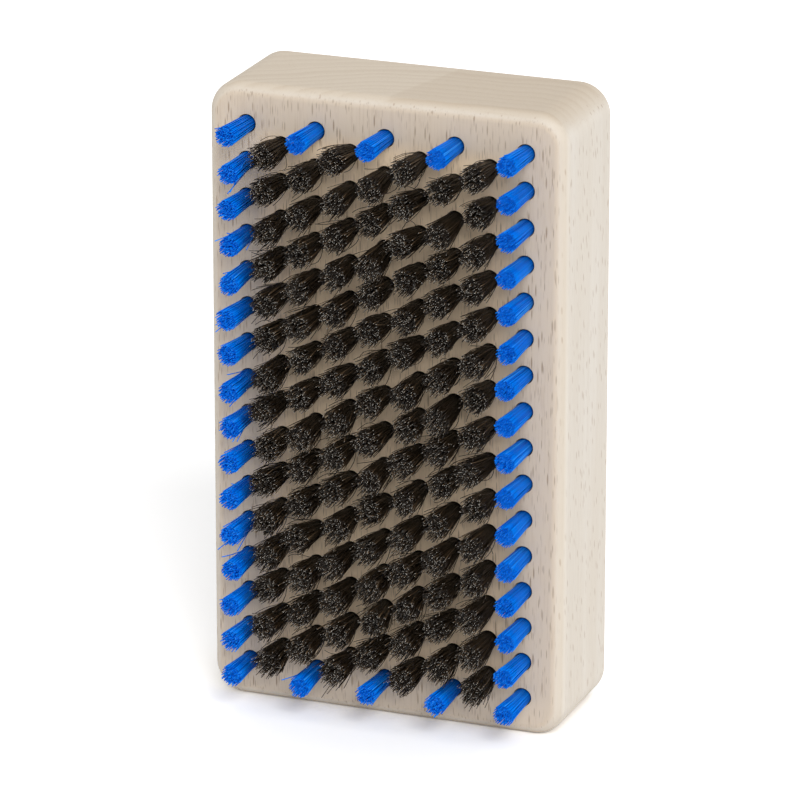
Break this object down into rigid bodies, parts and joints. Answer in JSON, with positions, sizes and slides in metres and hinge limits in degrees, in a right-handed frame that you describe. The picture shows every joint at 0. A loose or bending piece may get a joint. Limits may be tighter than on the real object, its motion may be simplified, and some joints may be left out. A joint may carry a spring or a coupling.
{
  "type": "hand brush",
  "caption": "Rectangular wooden hand brush with a border of blue nylon tufts round a field of fine dark hair tufts, standing on one short end.",
  "frame": {"origin": "centre of the short end face that the brush stands on", "axes": "+Z along the block's length, +Y from the bristles to the flat back, +X across the width"},
  "size_m": [0.07, 0.035, 0.12],
  "materials": {
    "beech": "matte",
    "blue_nylon": "satin",
    "dark_horsehair": "matte"
  },
  "bodies": {
    "root": {"beech_block": "beech", "hair_tufts_1_1": "dark_horsehair", "hair_tufts_1_2": "dark_horsehair", "hair_tufts_1_3": "dark_horsehair", "hair_tufts_2_1": "dark_horsehair", "hair_tufts_2_2": "dark_horsehair", "hair_tufts_2_3": "dark_horsehair", "hair_tufts_3_1": "dark_horsehair", "hair_tufts_3_2": "dark_horsehair", "hair_tufts_3_3": "dark_horsehair", "hair_tufts_4_1": "dark_horsehair", "hair_tufts_4_2": "dark_horsehair", "hair_tufts_4_3": "dark_horsehair", "hair_tufts_5_1": "dark_horsehair", "hair_tufts_5_2": "dark_horsehair", "hair_tufts_5_3": "dark_horsehair", "hair_tufts_6_1": "dark_horsehair", "hair_tufts_6_2": "dark_horsehair", "hair_tufts_6_3": "dark_horsehair", "hair_tufts_7_1": "dark_horsehair", "hair_tufts_7_2": "dark_horsehair", "hair_tufts_7_3": "dark_horsehair", "nylon_tuft_bottom_1": "blue_nylon", "nylon_tuft_bottom_2": "blue_nylon", "nylon_tuft_bottom_3": "blue_nylon", "nylon_tuft_left_01": "blue_nylon", "nylon_tuft_left_02": "blue_nylon", "nylon_tuft_left_03": "blue_nylon", "nylon_tuft_left_04": "blue_nylon", "nylon_tuft_left_05": "blue_nylon", "nylon_tuft_left_06": "blue_nylon", "nylon_tuft_left_07": "blue_nylon", "nylon_tuft_left_08": "blue_nylon", "nylon_tuft_left_09": "blue_nylon", "nylon_tuft_left_10": "blue_nylon", "nylon_tuft_left_11": "blue_nylon", "nylon_tuft_left_12": "blue_nylon", "nylon_tuft_left_13": "blue_nylon", "nylon_tuft_left_14": "blue_nylon", "nylon_tuft_left_15": "blue_nylon", "nylon_tuft_left_16": "blue_nylon", "nylon_tuft_right_01": "blue_nylon", "nylon_tuft_right_02": "blue_nylon", "nylon_tuft_right_03": "blue_nylon", "nylon_tuft_right_04": "blue_nylon", "nylon_tuft_right_05": "blue_nylon", "nylon_tuft_right_06": "blue_nylon", "nylon_tuft_right_07": "blue_nylon", "nylon_tuft_right_08": "blue_nylon", "nylon_tuft_right_09": "blue_nylon", "nylon_tuft_right_10": "blue_nylon", "nylon_tuft_right_11": "blue_nylon", "nylon_tuft_right_12": "blue_nylon", "nylon_tuft_right_13": "blue_nylon", "nylon_tuft_right_14": "blue_nylon", "nylon_tuft_right_15": "blue_nylon", "nylon_tuft_right_16": "blue_nylon", "nylon_tuft_top_1": "blue_nylon", "nylon_tuft_top_2": "blue_nylon", "nylon_tuft_top_3": "blue_nylon"}
  },
  "joints": []
}
